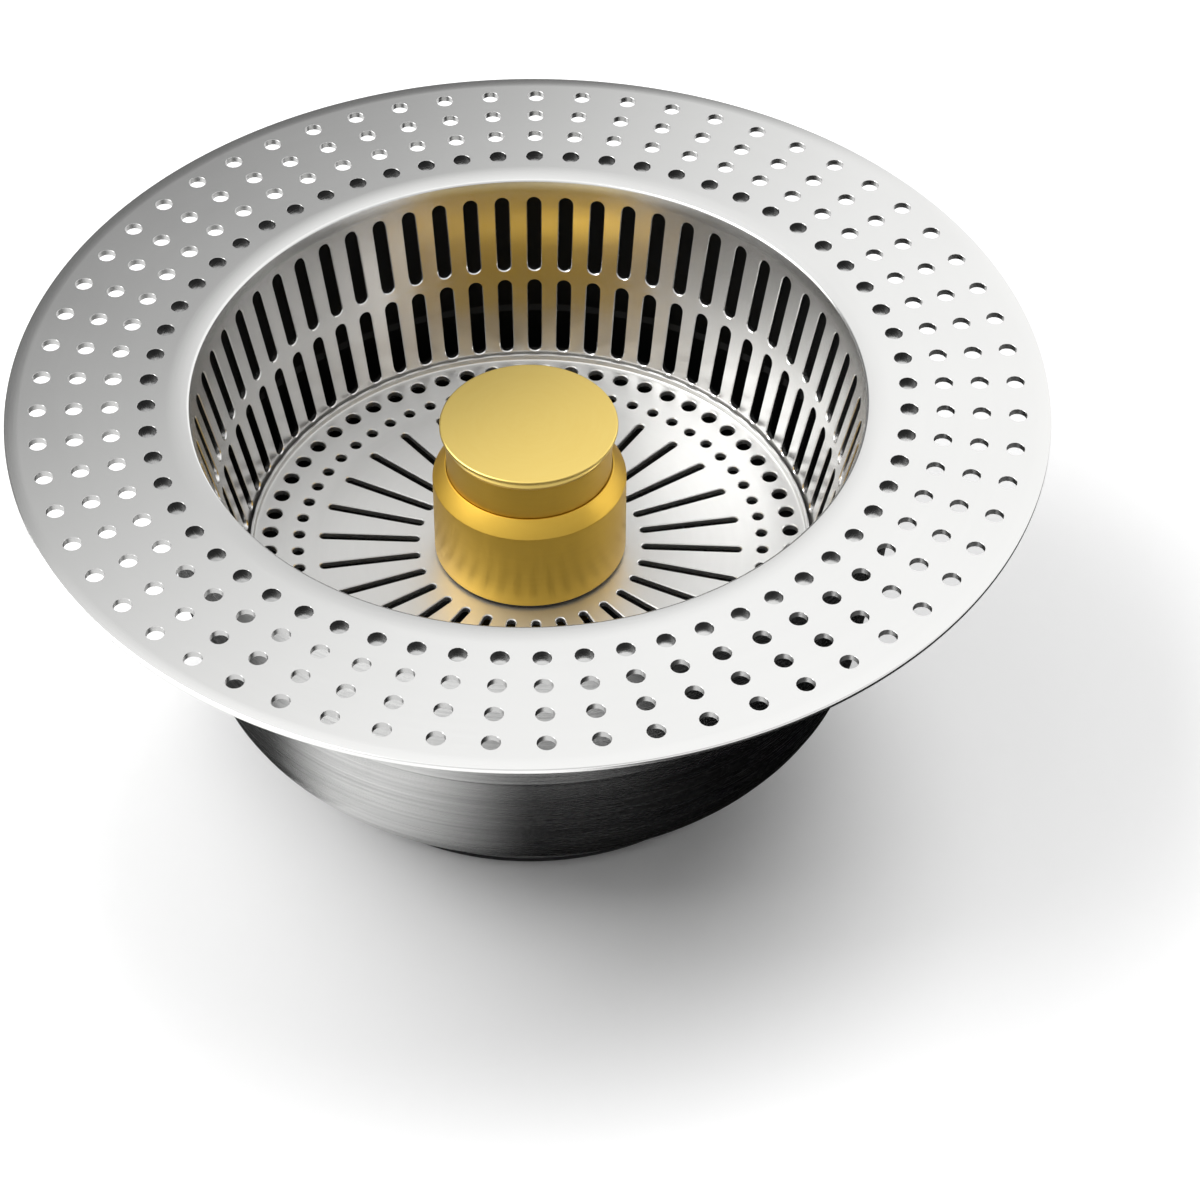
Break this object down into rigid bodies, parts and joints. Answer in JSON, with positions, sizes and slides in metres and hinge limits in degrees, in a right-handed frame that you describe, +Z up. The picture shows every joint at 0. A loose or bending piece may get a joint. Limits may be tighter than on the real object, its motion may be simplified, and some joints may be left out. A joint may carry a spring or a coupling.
{
  "type": "sink strainer",
  "caption": "Perforated sink strainer basket with a wide drilled flange, slotted wall and a brass push knob that works a stopper in a solid outer cup.",
  "frame": {"origin": "centre of the foot's underside, on the axis of the cup, with the strainer standing on its foot", "axes": "+Z up along the axis that the cup, basket and knob share; -Y towards the camera of the picture"},
  "size_m": [0.114, 0.114, 0.046],
  "materials": {
    "satin_steel": "satin",
    "turned_steel": "turned",
    "spring_wire": "drawn wire",
    "satin_brass": "satin",
    "dark_rubber": "matte",
    "white_plastic": "matte"
  },
  "bodies": {
    "cup": {"outer_cup": "satin_steel", "foot_ring": "satin_steel", "foot_gasket": "dark_rubber"},
    "basket": {"flange_plate": "satin_steel", "basket_wall": "satin_steel", "basket_floor": "satin_steel", "core_housing": "satin_brass", "core_gasket": "dark_rubber", "clamp_washer": "turned_steel", "clamp_nut": "satin_brass", "guide_sleeve": "satin_brass", "guide_pins": "turned_steel", "stem_bush": "white_plastic", "return_spring": "spring_wire"},
    "plunger": {"knob_cap": "satin_brass", "knob_neck": "satin_brass", "neck_seal": "dark_rubber", "stem": "turned_steel", "drum_washer": "turned_steel", "stop_clip": "turned_steel", "stopper_plate": "satin_steel", "stopper_gasket": "dark_rubber", "gasket_retainer": "satin_steel", "stopper_screw": "turned_steel"},
    "drum": {"click_drum": "white_plastic"}
  },
  "joints": [
    {"name": "basket_lift", "type": "slide", "parent": "cup", "child": "basket", "axis": [0, 0, 1], "range_m": [0, 0.05]},
    {"name": "knob_press", "type": "slide", "parent": "basket", "child": "plunger", "axis": [0, 0, 1], "range_m": [-0.004, 0], "stiffness_N_per_m": 300, "springref_m": 0.01, "deforming": ["return_spring"]},
    {"name": "drum_turn", "type": "hinge", "parent": "plunger", "child": "drum", "pos_m": [0, 0, 0.034], "axis": [0, 0, 1], "range_deg": [-20, 0]}
  ],
  "couplings": [
    {"joint": "drum_turn", "follows": "knob_press", "rad_per_m": 87.266}
  ]
}
